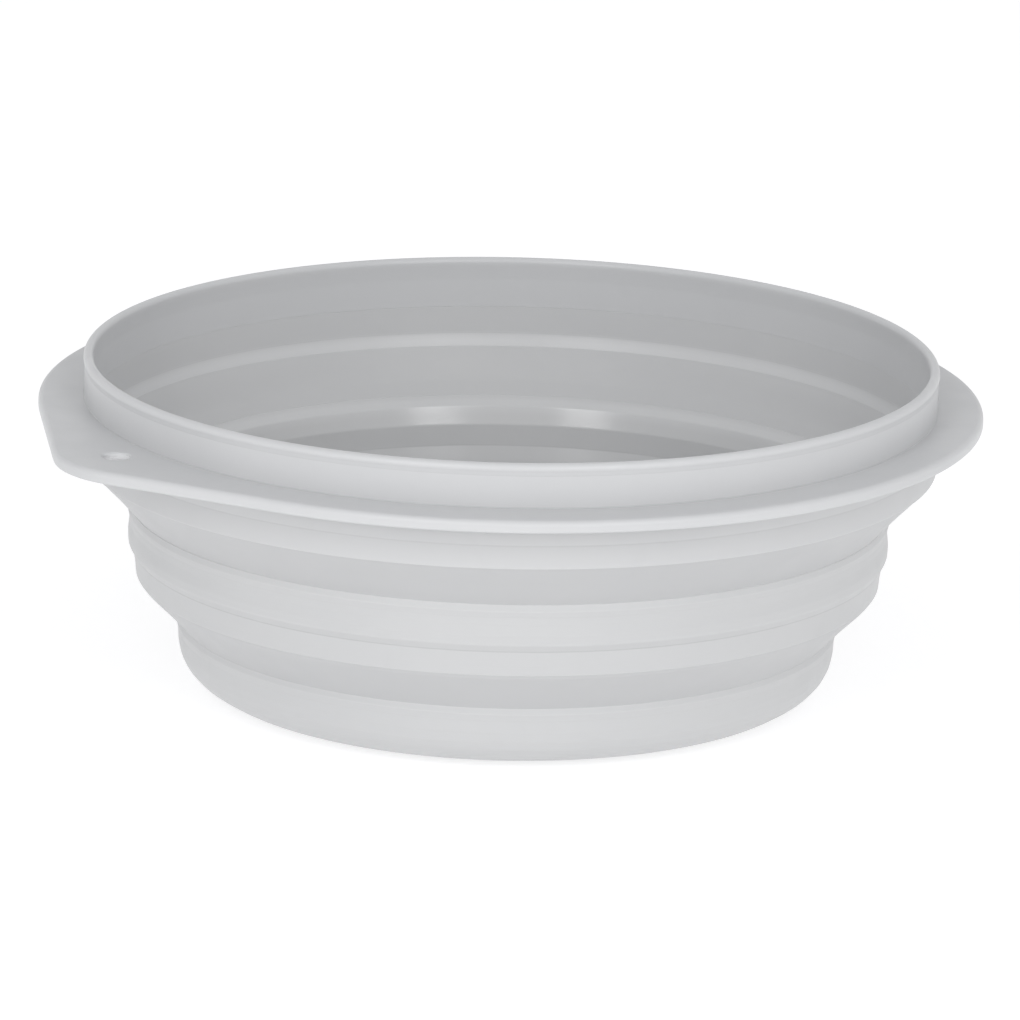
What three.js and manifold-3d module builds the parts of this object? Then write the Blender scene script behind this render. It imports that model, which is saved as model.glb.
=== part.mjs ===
// Collapsible foot bath basin: a hard ring-shaped rim with a flange and a hanging tab, three stiff
// ring walls joined by two thin fold webs, and a hard floor panel set into the lowest wall.
// Millimetres, +Z up. The origin is the centre of the underside, the basin's axis is Z, and the
// hanging tab points along -X. The basin is modelled open, at its full height.
import * as THREE from 'three';
import * as BufferGeometryUtils from 'three/addons/utils/BufferGeometryUtils.js';
import Module from 'manifold-3d';

// ---------------------------------------------------------------- driving dimensions
const SEGMENTS = 48;            // facets round the axis on the round pieces
const TAB_STEPS = 28;            // facets across the tab's sector of the rim
const RIM_STEPS = 40;           // facets over the rest of the rim
const FIT_GAP = 0.3;            // clearance between pieces that touch
const GROOVE_GAP = 0.7;         // clearance round the rim's tongue in the wall's groove

const RIM_R = 200;              // outer radius of the rolled top edge
const BEAD_R = 2.7;             // radius of the rolled top edge
const TOP_Z = 157.7;            // height of the top edge
const COLLAR_OUT = 199.5;       // collar's outer face
const COLLAR_IN = 195.9;        // collar's inner face

const FLANGE_TOP = 137.4;       // upper face of the flange
const FLANGE_T = 3.2;           // flange plate
const LIP_H = 5.8;              // height of the turned-down lip
const LIP_T = 3.0;              // thickness of the turned-down lip
const FLANGE_R = 220.9;         // outer radius of the lip

const TAB_HALF_ANGLE = 27;      // degrees from the tab's centre to where its sides leave the flange
const TAB_TIP_ROUND = 50;       // corner radius at the tab's tip
const HOLE_R = 6.1;             // hanging hole
const HOLE_AT = 217.0;          // hole centre from the basin's axis

const TONGUE_LOW = 122.0;       // the wall is moulded round a tongue under the rim
const COLLAR_LOW = 133.0;       // lower edge of the collar's inner face
const TONGUE_OUT = 199.2;
const TONGUE_IN = 197.4;

const WALL_T = 2.6;             // stiff ring walls
const FOLD_T = 1.6;             // fold webs

// outer face of each ring wall, from its lower to its upper edge: [radius, height]
const UPPER_OUT = [[200.0, 110.9], [200.2, 114.0], [200.4, 118.6], [201.3, 122.4], [202.8, 126.2], [203.4, 130.6], [203.0, 133.8]];
const MIDDLE_OUT = [[174.9, 53.4], [175.2, 57.0], [175.7, 61.0], [176.9, 64.0], [178.3, 67.5], [178.7, 71.5], [178.1, 76.0], [177.8, 80.5], [178.3, 87.2]];
const LOWER_OUT = [[154.8, 31.5], [154.5, 25.0], [154.4, 19.5], [153.6, 15.0], [151.6, 10.8], [148.0, 6.8], [142.4, 3.2], [135.5, 0.9], [129.0, 0.0]];
// outer face of the two fold webs, from the inner lower edge to the outer upper edge
const UPPER_FOLD_OUT = [[178.7, 87.8], [182.1, 91.4], [185.7, 95.4], [189.6, 99.6], [193.8, 103.8], [199.3, 109.0]];
const LOWER_FOLD_OUT = [[155.3, 32.2], [158.2, 35.4], [161.9, 39.4], [165.8, 43.4], [169.8, 47.3], [174.2, 51.8]];

const FLOOR_TOP = 3.6;          // upper face of the floor panel
const FLOOR_R = 127.4;          // radius of the floor panel's rebated edge
const REBATE_R = 121.0;         // radius of the wall's inner flange under the panel's edge
const NUB_H = 1.9;              // height of a floor nub
const NUB_R = 5.0;              // radius of a floor nub
const NUB_RINGS = [[36, 8], [64, 14], [92, 20]];   // [radius, count]

// ---------------------------------------------------------------- helpers
const V2 = (r, z) => new THREE.Vector2(Math.max(r, 0), z);

// A closed profile in (radius, height), turned about Z.
function turned(profile, segments = SEGMENTS) {
  const pts = profile.map(([r, z]) => V2(r, z));
  const area = THREE.ShapeUtils.area(pts);
  if (area < 0) pts.reverse();
  const onAxis = pts.filter((p) => p.x === 0).length;
  if (onAxis === 0) pts.push(pts[0].clone());
  const g = new THREE.LatheGeometry(pts, segments);
  g.rotateX(Math.PI / 2);
  return g;
}

// Inner face of a wall: the outer face moved in along its own normals by t.
function inward(points, t) {
  return points.map(([r, z], i) => {
    const a = points[Math.max(i - 1, 0)];
    const b = points[Math.min(i + 1, points.length - 1)];
    const dr = b[0] - a[0];
    const dz = b[1] - a[1];
    const l = Math.hypot(dr, dz);
    const s = dz >= 0 ? 1 : -1;
    return [r - (s * dz / l) * t, z + (s * dr / l) * t];
  });
}

// A wall of even thickness between an outer face and its inward copy.
const wallProfile = (outer, t) => [...outer, ...inward(outer, t).reverse()];


const wasm = await Module();
wasm.setup();

function toSolid(geometry) {
  const g = geometry.clone();
  g.deleteAttribute('normal');
  g.deleteAttribute('uv');
  const m = BufferGeometryUtils.mergeVertices(g, 1e-4);
  return new wasm.Manifold(new wasm.Mesh({
    numProp: 3,
    vertProperties: new Float32Array(m.attributes.position.array),
    triVerts: new Uint32Array(m.index.array),
  }));
}

function fromSolid(solid) {
  const mesh = solid.getMesh();
  const g = new THREE.BufferGeometry();
  const n = mesh.vertProperties.length / mesh.numProp;
  const pos = new Float32Array(n * 3);
  for (let i = 0; i < n; i++) {
    for (let k = 0; k < 3; k++) pos[3 * i + k] = mesh.vertProperties[i * mesh.numProp + k];
  }
  g.setAttribute('position', new THREE.BufferAttribute(pos, 3));
  g.setIndex(new THREE.BufferAttribute(new Uint32Array(mesh.triVerts), 1));
  g.computeVertexNormals();
  return g;
}

const paint = (color, roughness, metalness = 0) => new THREE.MeshStandardMaterial({ color, roughness, metalness });
const hardPlastic = paint(0xd9dadd, 0.42);
const softWall = paint(0xdadbdd, 0.55);
const softFold = paint(0xd0d1d4, 0.58);
const floorPlastic = paint(0xd7d8da, 0.38);

const basin = new THREE.Group();
function piece(name, geometry, material) {
  const mesh = new THREE.Mesh(geometry, material);
  mesh.name = name;
  basin.add(mesh);
  return mesh;
}

// ---------------------------------------------------------------- rim frame
// Outline of flange and tab: the tab's two sides are tangent to the flange and meet in a round tip.
const half = THREE.MathUtils.degToRad(TAB_HALF_ANGLE);
const apex = FLANGE_R / Math.cos(half);
const tipCentre = apex - TAB_TIP_ROUND / Math.cos(half);
const sideTouch = Math.atan2(Math.sin(half) * TAB_TIP_ROUND, tipCentre + Math.cos(half) * TAB_TIP_ROUND);
function outlineRadius(delta) {
  const d = Math.abs(delta);
  if (d >= half) return FLANGE_R;
  if (d >= sideTouch) return FLANGE_R / Math.cos(half - d);
  const s = tipCentre * Math.sin(d);
  return tipCentre * Math.cos(d) + Math.sqrt(TAB_TIP_ROUND ** 2 - s * s);
}

const beadC = [RIM_R - BEAD_R, TOP_Z - BEAD_R];
const bead = [];
for (const deg of [-35, 0, 35, 70, 110, 145, 180, 215]) {
  const a = THREE.MathUtils.degToRad(deg);
  bead.push([beadC[0] + BEAD_R * Math.cos(a), beadC[1] + BEAD_R * Math.sin(a)]);
}
const rimProfile = [
  [COLLAR_OUT, FLANGE_TOP + 1.6],
  ...bead,
  [COLLAR_IN, TOP_Z - 2.4 * BEAD_R],
  [COLLAR_IN, COLLAR_LOW],
  [TONGUE_IN, COLLAR_LOW],
  [TONGUE_IN, TONGUE_LOW],
  [TONGUE_OUT, TONGUE_LOW],
  [TONGUE_OUT, FLANGE_TOP - FLANGE_T - 0.8],
  [TONGUE_OUT + 0.8, FLANGE_TOP - FLANGE_T],
  [FLANGE_R - LIP_T - 0.6, FLANGE_TOP - FLANGE_T],
  [FLANGE_R - LIP_T, FLANGE_TOP - LIP_H + 0.6],
  [FLANGE_R - 0.5 * LIP_T, FLANGE_TOP - LIP_H],
  [FLANGE_R - 0.6, FLANGE_TOP - LIP_H + 0.9],
  [FLANGE_R, FLANGE_TOP - 0.5 * LIP_H],
  [FLANGE_R - 0.5, FLANGE_TOP - 0.9],
  [FLANGE_R - 1.9, FLANGE_TOP],
  [COLLAR_OUT + 1.6, FLANGE_TOP],
];
const rimSteps = TAB_STEPS + RIM_STEPS;
const rimGeometry = turned(rimProfile, rimSteps);
{
  // Facets are gathered into the tab's sector, and the flange is drawn out to the outline there.
  const p = rimGeometry.attributes.position;
  const sector = THREE.MathUtils.degToRad(TAB_HALF_ANGLE + 4);
  for (let i = 0; i < p.count; i++) {
    const x = p.getX(i);
    const y = p.getY(i);
    const r = Math.hypot(x, y);
    let turn = Math.atan2(y, x) / (2 * Math.PI);
    if (turn < -1e-9) turn += 1;
    const k = Math.round(turn * rimSteps) % rimSteps;
    let delta;
    if (k <= TAB_STEPS) delta = -sector + (2 * sector * k) / TAB_STEPS;
    else delta = sector + ((2 * Math.PI - 2 * sector) * (k - TAB_STEPS)) / RIM_STEPS;
    const wrapped = delta > Math.PI ? delta - 2 * Math.PI : delta;
    const reach = THREE.MathUtils.clamp((r - (COLLAR_OUT + 2)) / (FLANGE_R - LIP_T - 0.7 - (COLLAR_OUT + 2)), 0, 1);
    const rr = r + reach * (outlineRadius(wrapped) - FLANGE_R);
    const a = Math.PI + delta;
    p.setXY(i, rr * Math.cos(a), rr * Math.sin(a));
  }
}
const holeTool = new THREE.CylinderGeometry(HOLE_R, HOLE_R, 30, 28);
holeTool.rotateX(Math.PI / 2);
holeTool.translate(-HOLE_AT, 0, FLANGE_TOP - 3);
const rimSolid = toSolid(rimGeometry).subtract(toSolid(holeTool));
piece('rim_frame', fromSolid(rimSolid), hardPlastic);

// ---------------------------------------------------------------- upper wall
// The wall wraps the rim's tongue on both sides.
{
  const profile = [
    ...UPPER_OUT,
    [TONGUE_OUT + GROOVE_GAP + 0.9, 133.8],
    [TONGUE_OUT + GROOVE_GAP, 132.8],
    [TONGUE_OUT + GROOVE_GAP, TONGUE_LOW - GROOVE_GAP],
    [TONGUE_IN - GROOVE_GAP, TONGUE_LOW - GROOVE_GAP],
    [TONGUE_IN - GROOVE_GAP, COLLAR_LOW - FIT_GAP],
    [COLLAR_IN - 0.1, COLLAR_LOW - FIT_GAP],
    [COLLAR_IN - 0.1, 123.0],
    [UPPER_OUT[0][0] - WALL_T, 118.5],
    [UPPER_OUT[0][0] - WALL_T, UPPER_OUT[0][1]],
  ];
  piece('upper_wall', turned(profile), softWall);
}

// ---------------------------------------------------------------- fold webs and ring walls
piece('upper_fold', turned(wallProfile(UPPER_FOLD_OUT, FOLD_T)), softFold);
piece('middle_wall', turned(wallProfile(MIDDLE_OUT, WALL_T)), softWall);
piece('lower_fold', turned(wallProfile(LOWER_FOLD_OUT, FOLD_T)), softFold);

// ---------------------------------------------------------------- lower wall
// It turns in under the floor panel's edge.
{
  const profile = [
    ...LOWER_OUT,
    [REBATE_R, 0],
    [REBATE_R, 1.5],
    [FLOOR_R + FIT_GAP, 1.5],
    [FLOOR_R + FIT_GAP, FLOOR_TOP],
    [134.5, 4.6],
    [139.6, 6.6],
    [144.2, 9.6],
    [147.6, 13.6],
    [149.8, 18.2],
    [150.7, 23.0],
    [151.0, 28.0],
    [151.2, 32.0],
  ];
  piece('lower_wall', turned(profile), softWall);
}

// ---------------------------------------------------------------- floor panel
{
  const profile = [
    [0, 0], [38, 0], [40, 1.2], [104, 1.2], [106, 0],
    [REBATE_R - FIT_GAP, 0],
    [REBATE_R - FIT_GAP, 1.5 + FIT_GAP],
    [FLOOR_R, 1.5 + FIT_GAP],
    [FLOOR_R, FLOOR_TOP],
    [0, FLOOR_TOP],
  ];
  let solid = toSolid(turned(profile));
  for (const [radius, count] of NUB_RINGS) {
    for (let i = 0; i < count; i++) {
      const a = (2 * Math.PI * (i + 0.5)) / count;
      const nub = new THREE.LatheGeometry([
        V2(0, FLOOR_TOP - 1), V2(NUB_R, FLOOR_TOP - 0.2),
        V2(NUB_R * 0.66, FLOOR_TOP + NUB_H * 0.72), V2(0, FLOOR_TOP + NUB_H),
      ], 6);
      nub.rotateX(Math.PI / 2);
      nub.translate(radius * Math.cos(a), radius * Math.sin(a), 0);
      solid = solid.add(toSolid(nub));
    }
  }
  piece('base_panel', fromSolid(solid), floorPlastic);
}

export default basin;
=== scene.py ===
import math

import bmesh
import bpy
import numpy as np
from mathutils import Matrix, Vector


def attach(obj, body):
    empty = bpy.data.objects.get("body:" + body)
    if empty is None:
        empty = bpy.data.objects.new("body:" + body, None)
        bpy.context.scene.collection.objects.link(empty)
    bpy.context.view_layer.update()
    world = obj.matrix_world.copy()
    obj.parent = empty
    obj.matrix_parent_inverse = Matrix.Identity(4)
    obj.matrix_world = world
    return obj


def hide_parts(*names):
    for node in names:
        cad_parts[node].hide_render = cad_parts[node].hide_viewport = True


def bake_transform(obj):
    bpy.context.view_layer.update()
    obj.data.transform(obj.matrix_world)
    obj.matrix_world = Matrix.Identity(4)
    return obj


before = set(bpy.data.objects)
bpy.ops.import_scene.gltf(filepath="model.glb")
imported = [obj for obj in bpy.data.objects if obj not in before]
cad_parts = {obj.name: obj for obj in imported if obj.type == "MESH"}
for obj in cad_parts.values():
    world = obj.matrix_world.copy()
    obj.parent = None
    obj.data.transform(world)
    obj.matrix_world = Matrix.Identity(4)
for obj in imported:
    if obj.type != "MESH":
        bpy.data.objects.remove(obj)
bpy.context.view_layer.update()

scene = bpy.context.scene

# ------------------------------------------------------------------ sizes, mm
ROUND = 288                  # facets round the axis on the ring pieces
RIM_R, BEAD_R, TOP_Z = 200.0, 2.7, 157.7
COLLAR_OUT, COLLAR_IN = 199.5, 195.9
FLANGE_TOP, FLANGE_T = 137.4, 3.2
LIP_H, LIP_T, FLANGE_R = 5.8, 3.0, 220.9
TAB_HALF, TAB_TIP = math.radians(27.0), 50.0
HOLE_R, HOLE_AT, HOLE_ROUND = 6.1, 217.0, 1.1
FLOOR_TOP, FLOOR_R, REBATE_R = 3.6, 127.4, 121.0
NUB_H, NUB_R = 1.9, 5.4
NUB_RINGS = [(36.0, 8), (64.0, 14), (92.0, 20)]
FOLD_T = 1.7

# ------------------------------------------------------------------ profiles


def rounded(points, per=11.0):
    """A closed profile of (radius, height, corner radius), with each corner turned into an arc."""
    out, n = [], len(points)
    for i in range(n):
        p0, p1, p2 = (np.array(points[j % n][:2], float) for j in (i - 1, i, i + 1))
        rad = points[i][2] if len(points[i]) > 2 else 0.0
        a, b = p0 - p1, p2 - p1
        la, lb = np.linalg.norm(a), np.linalg.norm(b)
        a, b = a / la, b / lb
        ang = math.acos(max(-1.0, min(1.0, float(a @ b))))
        turn = math.pi - ang
        if rad <= 0 or turn < math.radians(1.0):
            out.append(p1)
            continue
        t = min(rad / math.tan(ang / 2), 0.47 * min(la, lb))
        rad = t * math.tan(ang / 2)
        mid = (a + b) / np.linalg.norm(a + b)
        c = p1 + mid * (rad / math.sin(ang / 2))
        s, e = p1 + a * t - c, p1 + b * t - c
        steps = max(2, int(math.ceil(math.degrees(turn) / per)))
        for k in range(steps + 1):
            w = k / steps
            v = (s * math.sin((1 - w) * turn) + e * math.sin(w * turn)) / math.sin(turn)
            out.append(c + v)
    return np.array(out)


def spaced(p, near=0.3, most=4.0):
    """Adds points beside each corner and along each long edge of a closed profile."""
    out = []
    for i in range(len(p)):
        a, b = p[i], p[(i + 1) % len(p)]
        length = np.linalg.norm(b - a)
        if length < 1e-6:
            continue
        out.append(a)
        cuts = []
        if length > 3 * near:
            inner = length - 2 * near
            k = max(1, int(math.ceil(inner / most)))
            cuts = [near + inner * j / k for j in range(k + 1)]
        for c in cuts:
            out.append(a + (b - a) * c / length)
    return np.array(out)


def curve(points, steps=5):
    """A smooth open curve through the points."""
    p = np.array(points, float)
    q = np.vstack([2 * p[0] - p[1], p, 2 * p[-1] - p[-2]])
    out = []
    for i in range(1, len(q) - 2):
        p0, p1, p2, p3 = q[i - 1], q[i], q[i + 1], q[i + 2]
        for k in range(steps):
            t = k / steps
            out.append(0.5 * (2 * p1 + (p2 - p0) * t + (2 * p0 - 5 * p1 + 4 * p2 - p3) * t * t
                              + (3 * p1 - p0 - 3 * p2 + p3) * t ** 3))
    out.append(p[-1])
    return np.array(out)


def bends(p):
    """How sharply a closed profile turns at each point, per mm; positive where the solid is convex."""
    area = 0.5 * sum(p[i - 1][0] * p[i][1] - p[i][0] * p[i - 1][1] for i in range(len(p)))
    sign = 1.0 if area > 0 else -1.0
    k = np.zeros(len(p))
    for i in range(len(p)):
        a, b = p[i] - p[i - 1], p[(i + 1) % len(p)] - p[i]
        la, lb = np.linalg.norm(a), np.linalg.norm(b)
        turn = math.atan2(a[0] * b[1] - a[1] * b[0], float(a @ b))
        k[i] = sign * turn / max(0.5 * (la + lb), 1e-6)
    return k


def smooth01(x, a, b):
    t = np.clip((np.asarray(x, float) - a) / (b - a), 0, 1)
    return t * t * (3 - 2 * t)


# ------------------------------------------------------------------ mesh makers


def finish_mesh(name, verts_mm, faces, marks):
    me = bpy.data.meshes.new(name)
    me.from_pydata([tuple(v) for v in np.asarray(verts_mm) * 0.001], [], faces)
    me.validate()
    bm = bmesh.new()
    bm.from_mesh(me)
    bmesh.ops.recalc_face_normals(bm, faces=bm.faces)
    if sum(f.calc_center_median().dot(f.normal) * f.calc_area() for f in bm.faces) < 0:
        bmesh.ops.reverse_faces(bm, faces=bm.faces)
    bm.to_mesh(me)
    bm.free()
    for key, values in marks.items():
        at = me.attributes.new(key, "FLOAT", "POINT")
        at.data.foreach_set("value", np.asarray(values, np.float32))
    me.polygons.foreach_set("use_smooth", [True] * len(me.polygons))
    me.update()
    ob = bpy.data.objects.new(name, me)
    scene.collection.objects.link(ob)
    return ob


def turned(name, profile, angles=None, warp=None, paint_light=None, inside=None):
    """A closed profile turned about Z, with edge wear and painted highlight at its convex bends, painted shade in its
    concave creases and any painted bright band marked.
    """
    if angles is None:
        angles = np.arange(ROUND) * 2 * math.pi / ROUND
    n, m = len(angles), len(profile)
    k = bends(profile)
    # Edge wear and painted highlight: convex bends marked to be paler.
    wear_and_highlight = smooth01(k, 0.10, 0.75)
    # Painted shade: concave creases marked to be darker.
    painted_shade = smooth01(-k, 0.10, 0.75)
    # Painted light: the bright bands, where given.
    painted_lit = np.zeros(m) if paint_light is None else paint_light(profile)
    ins = np.zeros(m) if inside is None else inside(profile)
    verts = np.zeros((n, m, 3))
    for i, a in enumerate(angles):
        r = profile[:, 0] if warp is None else warp(profile, a)
        verts[i, :, 0] = r * math.cos(a)
        verts[i, :, 1] = r * math.sin(a)
        verts[i, :, 2] = profile[:, 1]
    faces = []
    for i in range(n):
        i2 = (i + 1) % n
        for j in range(m):
            j2 = (j + 1) % m
            faces.append((i * m + j, i2 * m + j, i2 * m + j2, i * m + j2))
    marks = {"wear_and_highlight": np.tile(wear_and_highlight, n), "painted_crease_shade": np.tile(painted_shade, n), "painted_light": np.tile(painted_lit, n),
             "inside": np.tile(ins, n)}
    return finish_mesh(name, verts.reshape(-1, 3), faces, marks)


# ------------------------------------------------------------------ materials


def node(nt, kind, **inputs):
    nd = nt.nodes.new(kind)
    for key, v in inputs.items():
        nd.inputs[key.replace("_", " ")].default_value = v
    return nd


def plastic(name, colour, rough_out, rough_in, grain, mottle=0.016, coat=0.0, lift=0.07, pebble=0.2):
    """Moulded plastic: faint colour drift, fine moulded grain, glossier inside, paler at convex bends (edge wear and
    painted highlight) and along painted bright bands, darker in concave creases (painted shade).
    """
    m = bpy.data.materials.new(name)
    m.use_nodes = True
    nt = m.node_tree
    nt.nodes.clear()
    L = nt.links.new
    out = nt.nodes.new("ShaderNodeOutputMaterial")
    bsdf = nt.nodes.new("ShaderNodeBsdfPrincipled")
    bsdf.inputs["IOR"].default_value = 1.49
    bsdf.inputs["Coat Weight"].default_value = coat
    bsdf.inputs["Coat Roughness"].default_value = 0.12
    L(bsdf.outputs[0], out.inputs[0])
    tc = nt.nodes.new("ShaderNodeTexCoord")

    big = node(nt, "ShaderNodeTexNoise", Scale=9.0, Detail=3.0, Roughness=0.55)
    mid = node(nt, "ShaderNodeTexNoise", Scale=60.0, Detail=4.0, Roughness=0.6)
    fine = node(nt, "ShaderNodeTexNoise", Scale=grain, Detail=2.0, Roughness=0.5)
    for t in (big, mid, fine):
        L(tc.outputs["Object"], t.inputs["Vector"])

    drift = node(nt, "ShaderNodeMapRange", From_Min=0.3, From_Max=0.7, To_Min=0.0, To_Max=1.0)
    L(big.outputs["Fac"], drift.inputs["Value"])
    dark = tuple(c * (1 - mottle) for c in colour) + (1,)
    light = tuple(min(1, c * (1 + mottle)) for c in (colour[0] * 1.002, colour[1], colour[2] * 0.997)) + (1,)
    c1 = nt.nodes.new("ShaderNodeMix")
    c1.data_type = "RGBA"
    c1.inputs["A"].default_value = dark
    c1.inputs["B"].default_value = light
    L(drift.outputs[0], c1.inputs["Factor"])

    speck = node(nt, "ShaderNodeMapRange", From_Min=0.62, From_Max=0.78, To_Min=0.0, To_Max=0.06)
    L(mid.outputs["Fac"], speck.inputs["Value"])
    c2 = nt.nodes.new("ShaderNodeMix")
    c2.data_type = "RGBA"
    c2.inputs["B"].default_value = tuple(c * 0.8 for c in colour) + (1,)
    L(c1.outputs["Result"], c2.inputs["A"])
    L(speck.outputs[0], c2.inputs["Factor"])

    def attribute(key):
        a = nt.nodes.new("ShaderNodeAttribute")
        a.attribute_type = "GEOMETRY"
        a.attribute_name = key
        return a.outputs["Fac"]

    def scaled(socket, by):
        s = nt.nodes.new("ShaderNodeMath")
        s.operation = "MULTIPLY"
        s.inputs[1].default_value = by
        L(socket, s.inputs[0])
        return s.outputs[0]

    # Paler colour mixed in at convex bends (edge wear and painted highlight) and along the painted bright bands.
    pale = tuple(min(1.0, c * 1.12 + 0.02) for c in colour) + (1,)
    c3 = nt.nodes.new("ShaderNodeMix")
    c3.data_type = "RGBA"
    c3.inputs["B"].default_value = pale
    L(c2.outputs["Result"], c3.inputs["A"])
    bend = nt.nodes.new("ShaderNodeMath")
    bend.operation = "MAXIMUM"
    L(scaled(attribute("wear_and_highlight"), lift * 4), bend.inputs[0])
    L(attribute("painted_light"), bend.inputs[1])
    uneven = nt.nodes.new("ShaderNodeMath")
    uneven.operation = "MULTIPLY"
    broken = node(nt, "ShaderNodeMapRange", From_Min=0.35, From_Max=0.65, To_Min=0.9, To_Max=1.0)
    L(mid.outputs["Fac"], broken.inputs["Value"])
    L(bend.outputs[0], uneven.inputs[0])
    L(broken.outputs[0], uneven.inputs[1])
    L(uneven.outputs[0], c3.inputs["Factor"])

    # Painted shade: a darker colour mixed in at concave creases.
    c4 = nt.nodes.new("ShaderNodeMix")
    c4.data_type = "RGBA"
    c4.inputs["B"].default_value = tuple(c * 0.72 for c in colour) + (1,)
    L(c3.outputs["Result"], c4.inputs["A"])
    L(scaled(attribute("painted_crease_shade"), 0.5), c4.inputs["Factor"])
    L(c4.outputs["Result"], bsdf.inputs["Base Color"])

    ro = node(nt, "ShaderNodeMapRange", From_Min=0.3, From_Max=0.7, To_Min=rough_out - 0.05, To_Max=rough_out + 0.05)
    L(mid.outputs["Fac"], ro.inputs["Value"])
    ri = node(nt, "ShaderNodeMapRange", From_Min=0.3, From_Max=0.7, To_Min=rough_in - 0.03, To_Max=rough_in + 0.04)
    L(mid.outputs["Fac"], ri.inputs["Value"])
    rm = nt.nodes.new("ShaderNodeMix")
    rm.data_type = "FLOAT"
    L(ro.outputs[0], rm.inputs["A"])
    L(ri.outputs[0], rm.inputs["B"])
    L(attribute("inside"), rm.inputs["Factor"])
    L(rm.outputs["Result"], bsdf.inputs["Roughness"])

    b1 = node(nt, "ShaderNodeBump", Strength=0.22, Distance=0.00006)
    L(fine.outputs["Fac"], b1.inputs["Height"])
    b2 = node(nt, "ShaderNodeBump", Strength=pebble, Distance=0.00005)
    L(mid.outputs["Fac"], b2.inputs["Height"])
    L(b1.outputs["Normal"], b2.inputs["Normal"])
    L(b2.outputs["Normal"], bsdf.inputs["Normal"])
    return m


# The same light-grey plastic throughout: the ring walls and fold webs are set darker than the rim as painted shade, so
# they come out as dim as they sit under this light.
RIM_MAT = plastic("rim_plastic_moulded", (0.556, 0.561, 0.571), 0.40, 0.36, 1500.0, lift=0.03)
WALL_MAT = plastic("ring_wall_moulded", (0.522, 0.526, 0.532), 0.47, 0.17, 1300.0)
UPPER_MAT = plastic("upper_wall_moulded", (0.548, 0.552, 0.559), 0.47, 0.38, 1300.0)
FOLD_MAT = plastic("fold_web_soft", (0.498, 0.502, 0.509), 0.50, 0.36, 1100.0)
FLOOR_MAT = plastic("floor_panel_moulded", (0.535, 0.540, 0.548), 0.42, 0.30, 1500.0, pebble=0.06)


def dress(ob, mat, body=None, nodes=()):
    ob.data.materials.append(mat)
    if body:
        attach(ob, body)
    if nodes:
        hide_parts(*nodes)
    return ob


# ------------------------------------------------------------------ rim
apex = FLANGE_R / math.cos(TAB_HALF)
tip_c = apex - TAB_TIP / math.cos(TAB_HALF)
side_touch = math.atan2(math.sin(TAB_HALF) * TAB_TIP, tip_c + math.cos(TAB_HALF) * TAB_TIP)


def outline(delta):
    d = abs(delta)
    if d >= TAB_HALF:
        return FLANGE_R
    if d >= side_touch:
        return FLANGE_R / math.cos(TAB_HALF - d)
    s = tip_c * math.sin(d)
    return tip_c * math.cos(d) + math.sqrt(TAB_TIP ** 2 - s * s)


def outline_soft(delta):
    """The outline, with its joins eased."""
    w = math.radians(1.6)
    return sum(outline(delta + w * k / 3) * c for k, c in zip(range(-3, 4), (1, 3, 5, 6, 5, 3, 1))) / 24.0


def rim_loop():
    bc = (RIM_R - BEAD_R, TOP_Z - BEAD_R)
    bead = [(bc[0] + (BEAD_R if d < 90 else BEAD_R - 0.7) * math.cos(math.radians(d)),
             bc[1] + BEAD_R * math.sin(math.radians(d)), 0) for d in range(-20, 180, 9)]
    pts = bead + [
        (195.33, 153.9, 3), (195.6, 151.0, 20), (COLLAR_IN, 147.0, 20), (COLLAR_IN, 133.0, 0.08),
        (197.4, 133.0, 0), (197.4, 122.0, 0.4),
        (199.2, 122.0, 0.4), (199.2, FLANGE_TOP - FLANGE_T, 0.8), (FLANGE_R - LIP_T, FLANGE_TOP - FLANGE_T, 1.3),
        (FLANGE_R - LIP_T, FLANGE_TOP - LIP_H, 0.8), (FLANGE_R, FLANGE_TOP - LIP_H, 1.3),
        (FLANGE_R, FLANGE_TOP, 2.6), (COLLAR_OUT, FLANGE_TOP, 0.5), (COLLAR_OUT, 152.2, 2.0)]
    return spaced(rounded(pts))


def rim_warp(profile, a):
    delta = (a - math.pi + math.pi) % (2 * math.pi) - math.pi
    r = profile[:, 0]
    start = COLLAR_OUT + 2.2
    reach = np.clip((r - start) / (FLANGE_R - LIP_T - 0.7 - start), 0, 1)
    return r + reach * (outline_soft(delta) - FLANGE_R)


sector = TAB_HALF + math.radians(5)
tab_steps = 120
rim_angles = np.concatenate([
    math.pi - sector + 2 * sector * np.arange(tab_steps) / tab_steps,
    math.pi + sector + (2 * math.pi - 2 * sector) * np.arange(232) / 232,
])
rim = turned("rim_shell", rim_loop(), angles=rim_angles, warp=rim_warp,
             inside=lambda p: smooth01(-p[:, 0], -197.3, -195.5) * (p[:, 1] < 156))


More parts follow.
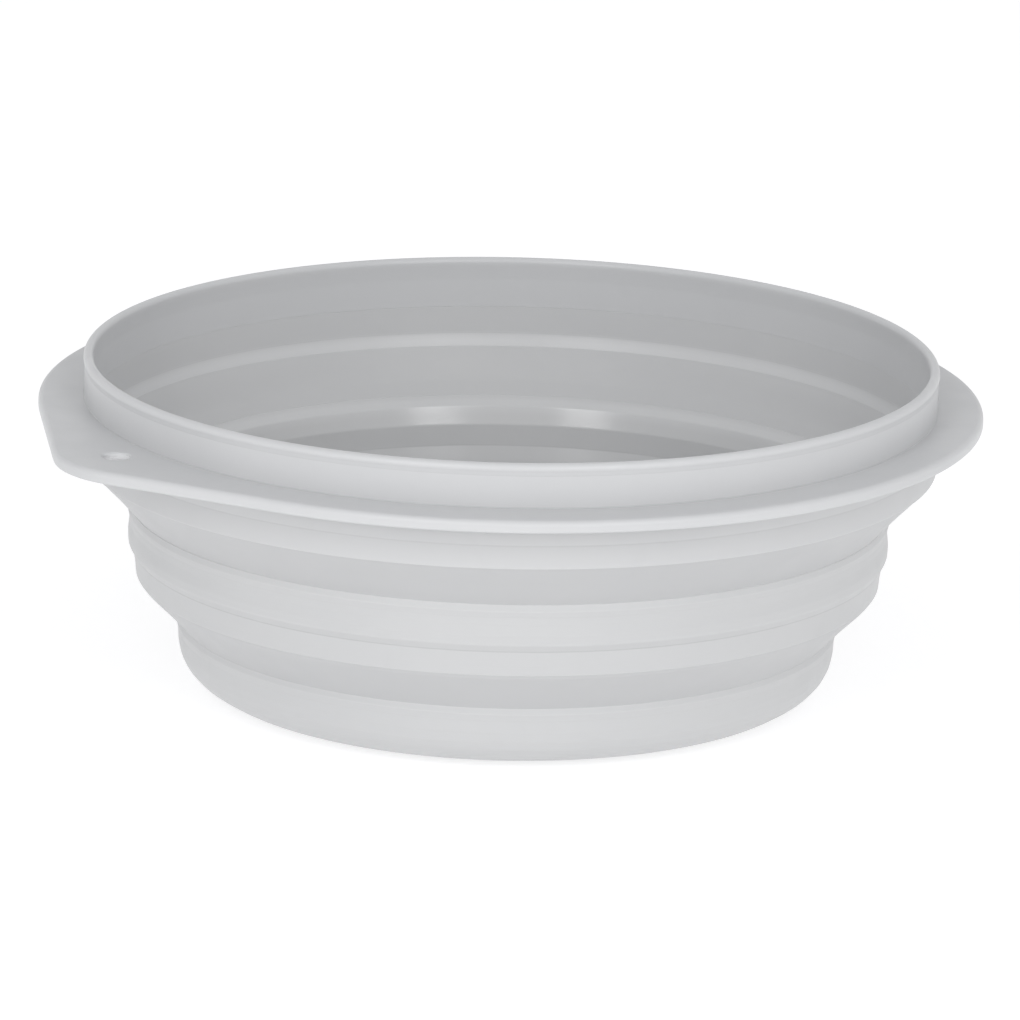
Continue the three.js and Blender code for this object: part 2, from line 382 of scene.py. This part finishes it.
def hole_cutter():
    top, low = FLANGE_TOP, FLANGE_TOP - FLANGE_T
    prof = [(0, top + 4), (HOLE_R + HOLE_ROUND, top + 4)]
    for k in range(8):
        a = math.pi / 2 * k / 7
        prof.append((HOLE_R + HOLE_ROUND - HOLE_ROUND * math.sin(a), top + 0.01 - HOLE_ROUND * (1 - math.cos(a))))
    for k in range(8):
        a = math.pi / 2 * k / 7
        prof.append((HOLE_R + HOLE_ROUND - HOLE_ROUND * math.cos(a), low - 0.01 + HOLE_ROUND * (1 - math.sin(a))))
    prof += [(HOLE_R + HOLE_ROUND, low - 8), (0, low - 8)]
    n = 72
    verts, faces, rows = [], [], []
    for r, z in prof:
        if r == 0:
            rows.append([len(verts)])
            verts.append((-HOLE_AT, 0, z))
        else:
            rows.append(list(range(len(verts), len(verts) + n)))
            verts += [(-HOLE_AT + r * math.cos(2 * math.pi * i / n), r * math.sin(2 * math.pi * i / n), z)
                      for i in range(n)]
    for a, b in zip(rows[:-1], rows[1:]):
        for i in range(n):
            j = (i + 1) % n
            if len(a) == 1:
                faces.append((a[0], b[i], b[j]))
            elif len(b) == 1:
                faces.append((a[i], b[0], a[j]))
            else:
                faces.append((a[i], b[i], b[j], a[j]))
    return finish_mesh("cutter", verts, faces, {})


cutter = hole_cutter()
mod = rim.modifiers.new("hole", "BOOLEAN")
mod.operation, mod.solver, mod.object = "DIFFERENCE", "EXACT", cutter
dg = bpy.context.evaluated_depsgraph_get()
cut = bpy.data.meshes.new_from_object(rim.evaluated_get(dg))
rim.modifiers.clear()
old = rim.data
rim.data = cut
bpy.data.meshes.remove(old)
cut.name = "rim_shell"
bpy.data.objects.remove(cutter)
cut.polygons.foreach_set("use_smooth", [True] * len(cut.polygons))
dress(rim, RIM_MAT, "rim", ["rim_frame"])

# ------------------------------------------------------------------ ring walls


def inner_side(*middle):
    """1 on the bowl's side of a line of (height, radius) through the wall."""
    hs, rs = [h for h, _ in middle], [r for _, r in middle]
    return lambda p: np.where(p[:, 0] < np.interp(p[:, 1], hs, rs), 1.0, 0.0)


upper = spaced(rounded([
    (199.9, 109.2, 0.5), (200.4, 120.3, 2.2), (202.7, 126.2, 7), (203.4, 130.8, 3), (202.9, 133.85, 0.6),
    (200.8, 133.85, 0.3), (199.9, 132.8, 0.2), (199.9, 121.3, 0.2), (196.7, 121.3, 0.2), (196.7, 132.97, 0),
    (195.9, 132.97, 0.08), (195.9, 119.6, 7), (194.1, 113.2, 1), (194.7, 111.9, 0.4), (196.0, 110.9, 0.4)]))
# Painted light: a bright band round the ring's inside near 114.8 mm up.
upper_wall = turned("upper_ring", upper, inside=inner_side((110, 198), (135, 198)),
                    paint_light=lambda p: 0.55 * smooth01(-np.abs(p[:, 1] - 114.8), -5.0, -1.5) * (p[:, 0] < 197.5))
dress(upper_wall, UPPER_MAT, "rim", ["upper_wall"])

middle = spaced(rounded([
    # outer face, from its lower edge up
    (174.8, 52.5, 0.5), (175.2, 57.2, 5), (176.2, 64.4, 1.6), (178.5, 68.0, 2.2), (178.6, 72.0, 6), (178.0, 77.5, 8),
    (178.2, 81.0, 4), (178.9, 83.8, 1.8), (178.3, 86.7, 0.8), (177.2, 87.4, 0.3),
    # over the web's end and down the inner face
    (180.4, 91.6, 0.4), (179.4, 92.2, 0.5), (175.4, 87.4, 2.2), (172.9, 78.6, 2.5), (173.4, 68.0, 2.0),
    (171.6, 60.6, 4), (170.4, 54.8, 1), (171.2, 53.6, 0.4), (172.6, 52.9, 0.4)]))
# Painted light: a bright band round the ring's inner top near 88.6 mm up.
middle_wall = turned("middle_ring", middle, inside=inner_side((53, 173.2), (62, 174), (68, 175.5), (84, 175.6), (88.5, 176.8), (92.5, 180.4)),
                     paint_light=lambda p: 0.5 * smooth01(-np.abs(p[:, 1] - 88.6), -3.4, -1.2) * (p[:, 0] < 180.2))
dress(middle_wall, WALL_MAT, "middle", ["middle_wall"])

lower = spaced(rounded([
    (REBATE_R, 0.0, 0.4), (REBATE_R, 1.5, 0.2), (FLOOR_R + 0.3, 1.5, 0.2), (FLOOR_R + 0.3, 3.65, 0.35),
    (134.5, 4.5, 6), (139.6, 6.4, 8), (144.4, 9.6, 8), (147.8, 13.6, 8), (150.0, 18.6, 10), (150.7, 23.2, 2.5),
    (152.4, 31.9, 2.0), (156.3, 36.4, 0.5), (157.3, 35.8, 0.4),
    (153.9, 31.9, 0.3), (154.8, 31.3, 0.7), (155.4, 28.6, 1.8), (154.8, 25.4, 4), (154.5, 19.6, 8), (153.6, 14.9, 8),
    (151.6, 10.6, 8), (148.0, 6.6, 8), (142.4, 3.1, 8), (135.5, 0.9, 8), (129.0, 0.0, 4)]))
# Painted light: a bright band round the ring's inner top near 33.4 mm up.
lower_wall = turned("lower_ring", lower, inside=inner_side((0, 100), (3.2, 100), (3.4, 138), (6.4, 143), (10, 147.5), (14, 150.4), (20, 152.2), (30, 152.8), (33, 153.6), (36.6, 157)),
                    paint_light=lambda p: 0.5 * smooth01(-np.abs(p[:, 1] - 33.4), -3.4, -1.2) * (p[:, 0] < 156.8))
dress(lower_wall, WALL_MAT, "base", ["lower_wall"])

# ------------------------------------------------------------------ fold webs


def web(name, outer, low_end, high_end, thick):
    """A thin web: its middle surface, thickened by a live modifier so that it keeps its thickness as it folds."""
    base = curve(outer, 7)
    s = np.concatenate([[0], np.cumsum(np.linalg.norm(np.diff(base, axis=0), axis=1))])
    s /= s[-1]
    t = thick(s)
    q = []
    for i in range(len(base)):
        a, b = base[max(i - 1, 0)], base[min(i + 1, len(base) - 1)]
        d = (b - a) / np.linalg.norm(b - a)
        q.append(base[i] + np.array([-d[1], d[0]]) * t[i] / 2)
    lead = [np.array(low_end) + (q[0] - np.array(low_end)) * k / 3 for k in range(3)]
    tail = [q[-1] + (np.array(high_end) - q[-1]) * k / 3 for k in (1, 2, 3)]
    c = np.array(lead + q + tail)
    tt = np.concatenate([[t[0]] * 3, t, t[-1] * np.array([0.8, 0.55, 0.3])])
    n, m = ROUND, len(c)
    verts = np.zeros((n, m, 3))
    for i in range(n):
        a = 2 * math.pi * i / n
        verts[i, :, 0], verts[i, :, 1], verts[i, :, 2] = c[:, 0] * math.cos(a), c[:, 0] * math.sin(a), c[:, 1]
    faces = [(i * m + j, ((i + 1) % n) * m + j, ((i + 1) % n) * m + j + 1, i * m + j + 1)
             for i in range(n) for j in range(m - 1)]
    u = np.linspace(0, 1, m)
    # Painted light: paler bands at both ends of the web, where it meets the rings.
    painted_light = 0.22 * (smooth01(-u, -0.16, 0.0) + smooth01(u, 0.84, 1.0))
    me = bpy.data.meshes.new(name)
    me.from_pydata([tuple(v) for v in verts.reshape(-1, 3) * 0.001], [], faces)
    for key, val in (("wear_and_highlight", np.zeros(m)), ("painted_crease_shade", np.zeros(m)), ("painted_light", painted_light), ("inside", np.zeros(m))):
        at = me.attributes.new(key, "FLOAT", "POINT")
        at.data.foreach_set("value", np.tile(val, n).astype(np.float32))
    me.polygons.foreach_set("use_smooth", [True] * len(me.polygons))
    me.update()
    ob = bpy.data.objects.new(name, me)
    scene.collection.objects.link(ob)
    top = float(tt.max())
    group = ob.vertex_groups.new(name="thick")
    for j in range(m):
        group.add([i * m + j for i in range(n)], float(tt[j] / top), "REPLACE")
    sol = ob.modifiers.new("thickness", "SOLIDIFY")
    sol.thickness = top * 0.001
    sol.offset = 0.0
    sol.vertex_group = "thick"
    sol.use_even_offset = True
    return ob


UPPER_FOLD = [(178.0, 87.0), (182.1, 91.4), (185.7, 95.4), (189.6, 99.6), (193.8, 103.8), (198.0, 108.3),
              (199.5, 110.6)]
LOWER_FOLD = [(154.6, 31.4), (158.2, 35.4), (161.9, 39.4), (165.8, 43.4), (169.8, 47.3), (173.3, 50.9),
              (174.4, 53.0)]
upper_web = web("upper_web", UPPER_FOLD, (177.0, 85.9), (197.4, 114.0), lambda s: FOLD_T + 4.3 * smooth01(s, 0.36, 0.97))
dress(upper_web, FOLD_MAT, None, ["upper_fold"])
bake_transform(upper_web)
lower_web = web("lower_web", LOWER_FOLD, (153.8, 30.5), (172.8, 55.6), lambda s: FOLD_T + 2.7 * smooth01(s, 0.42, 0.97))
dress(lower_web, FOLD_MAT, None, ["lower_fold"])
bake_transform(lower_web)

# ------------------------------------------------------------------ floor panel


def panel():
    n = 540
    nubs = []
    for radius, count in NUB_RINGS:
        for i in range(count):
            a = 2 * math.pi * (i + 0.5) / count
            nubs.append((radius * math.cos(a), radius * math.sin(a)))
    nubs = np.array(nubs)
    edge_top = FLOOR_TOP - 0.02
    radii_top = np.concatenate([[0.6, 1.4, 2.6], np.arange(3.6, 126.3, 0.85), [126.55, 126.9, 127.2, 127.38]])
    drop = {126.55: 0.0, 126.9: 0.06, 127.2: 0.22, 127.38: 0.5}
    ang = 2 * math.pi * np.arange(n) / n
    verts, rows = [(0.0, 0.0, FLOOR_TOP)], [[0]]
    painted_lit = [0.0]
    for r in radii_top:
        xy = np.stack([r * np.cos(ang), r * np.sin(ang)], 1)
        z = np.full(n, edge_top - drop.get(float(r), 0.0) if r > 126.5 else FLOOR_TOP)
        w = np.zeros(n)
        if r < 110:
            d = np.sqrt(((xy[:, None, :] - nubs[None]) ** 2).sum(2)).min(1)
            t = np.clip(1 - d / NUB_R, 0, 1)
            h = NUB_H * (t * t * (3 - 2 * t))
            z = z + h
            # Painted highlight: nubs paler towards their tops.
            w = 0.2 * smooth01(t, 0.3, 1.0)
        # a shallow ring groove near the edge and another round the middle
        for c, half, deep in ((112.0, 1.6, 0.5), (16.0, 1.6, 0.5)):
            k = max(0.0, 1 - abs(r - c) / half)
            z = z - deep * (k * k * (3 - 2 * k))
        rows.append(list(range(len(verts), len(verts) + n)))
        verts += [(xy[i, 0], xy[i, 1], z[i]) for i in range(n)]
        painted_lit += list(w)
    under = rounded([(FLOOR_R, FLOOR_TOP + 3), (FLOOR_R, 1.8, 0.25), (REBATE_R - 0.3, 1.8, 0.3), (REBATE_R - 0.3, 0.0, 0.5),
                     (106.0, 0.0, 0.8), (104.0, 1.2, 1.2), (40.0, 1.2, 1.2), (38.0, 0.0, 0.8), (7.0, 0.0, 0.4),
                     (6.2, 0.7, 0.4), (2.4, 0.7, 0.3), (2.0, 0.2, 0.2), (0.0, 0.2), (0.0, FLOOR_TOP + 3)])
    under = [p for p in spaced(under, 0.5, 5.0) if p[1] < 3.2 and p[0] > 0.3]
    k0 = max(range(len(under)), key=lambda i: (under[i][1] if under[i][0] > 127 else -1))
    under = under[k0:] + under[:k0]
    for r, z in under:
        rows.append(list(range(len(verts), len(verts) + n)))
        verts += [(r * math.cos(a), r * math.sin(a), z) for a in ang]
        painted_lit += [0.0] * n
    rows.append([len(verts)])
    verts.append((0.0, 0.0, 0.2))
    painted_lit.append(0.0)
    faces = []
    for a, b in zip(rows[:-1], rows[1:]):
        for i in range(n):
            j = (i + 1) % n
            if len(a) == 1:
                faces.append((a[0], b[i], b[j]))
            elif len(b) == 1:
                faces.append((a[i], b[0], a[j]))
            else:
                faces.append((a[i], b[i], b[j], a[j]))
    zero = np.zeros(len(verts))
    ins = np.array([1.0 if v[2] > 3.0 else 0.0 for v in verts])
    return finish_mesh("floor_panel", verts, faces, {"wear_and_highlight": zero, "painted_crease_shade": zero, "painted_light": np.array(painted_lit), "inside": ins})


floor_panel = dress(panel(), FLOOR_MAT, "base", ["base_panel"])

# ------------------------------------------------------------------ studio
AZ, EL, DIST = math.radians(-35.0), math.radians(14.08), 3.4
rim_centre = Vector((0, 0, 0.155))
back = Vector((math.cos(EL) * math.sin(AZ), -math.cos(EL) * math.cos(AZ), math.sin(EL)))
cam_data = bpy.data.cameras.new("camera")
cam_data.sensor_fit = "HORIZONTAL"
cam_data.sensor_width = 36.0
cam_data.lens = 36.0 * (427.7 * 17.0) / 1020.0
cam_data.clip_start, cam_data.clip_end = 0.05, 100.0
cam = bpy.data.objects.new("camera", cam_data)
scene.collection.objects.link(cam)
look = (-back).to_track_quat("-Z", "Y").to_matrix().to_4x4()
tilt = Matrix.Rotation(math.radians(-1.183), 4, "X")
pan = Matrix.Rotation(math.radians(-0.011), 4, "Y")
roll = Matrix.Rotation(math.radians(1.28), 4, "Z")
cam.matrix_world = Matrix.Translation(rim_centre + back * DIST) @ look @ tilt @ pan @ roll
scene.camera = cam


def floor():
    me = bpy.data.meshes.new("studio_floor")
    s = 14.0
    me.from_pydata([(-s, -s, 0), (s, -s, 0), (s, s, 0), (-s, s, 0)], [], [(0, 1, 2, 3)])
    ob = bpy.data.objects.new("studio_floor", me)
    scene.collection.objects.link(ob)
    m = bpy.data.materials.new("studio_floor")
    m.use_nodes = True
    b = m.node_tree.nodes["Principled BSDF"]
    b.inputs["Base Color"].default_value = (0.55, 0.55, 0.555, 1)
    b.inputs["Roughness"].default_value = 0.9
    b.inputs["Specular IOR Level"].default_value = 0.1
    b.inputs["Emission Color"].default_value = (1, 1, 1, 1)
    b.inputs["Emission Strength"].default_value = 0.60
    me.materials.append(m)


floor()


def softbox(name, az_off, el, dist, w, h, radiance, aim=(0, 0, 0.09)):
    a, e = AZ + math.radians(az_off), math.radians(el)
    d = Vector((math.sin(a) * math.cos(e), -math.cos(a) * math.cos(e), math.sin(e)))
    li = bpy.data.lights.new(name, "AREA")
    li.shape = "RECTANGLE"
    li.size, li.size_y = w, h
    li.energy = radiance * math.pi * w * h
    ob = bpy.data.objects.new(name, li)
    scene.collection.objects.link(ob)
    ob.location = Vector(aim) + d * dist
    ob.rotation_mode = "QUATERNION"
    ob.rotation_quaternion = (-d).to_track_quat("-Z", "Y")
    ob.visible_camera = False
    return ob


softbox("softbox_left", -25.0, 30.0, 2.4, 0.60, 1.35, 4.4)
softbox("softbox_right", 25.0, 30.0, 2.4, 0.60, 1.35, 4.4)
softbox("front_fill", 0.0, 22.0, 4.2, 3.0, 1.4, 0.3)

world = bpy.data.worlds.new("studio")
scene.world = world
world.use_nodes = True
nt = world.node_tree
bg = nt.nodes["Background"]
tc = nt.nodes.new("ShaderNodeTexCoord")
sep = nt.nodes.new("ShaderNodeSeparateXYZ")
ramp = nt.nodes.new("ShaderNodeValToRGB")
ramp.color_ramp.elements[0].position = 0.0
ramp.color_ramp.elements[0].color = (1.0, 1.0, 1.0, 1)
ramp.color_ramp.elements[1].position = 0.9
ramp.color_ramp.elements[1].color = (0.56, 0.565, 0.575, 1)
nt.links.new(tc.outputs["Generated"], sep.inputs[0])
nt.links.new(sep.outputs["Z"], ramp.inputs["Fac"])
nt.links.new(ramp.outputs["Color"], bg.inputs["Color"])
bg.inputs["Strength"].default_value = 1.0

scene.view_settings.view_transform = "Standard"
scene.view_settings.look = "None"
scene.view_settings.exposure = 0.0
scene.view_settings.gamma = 1.0
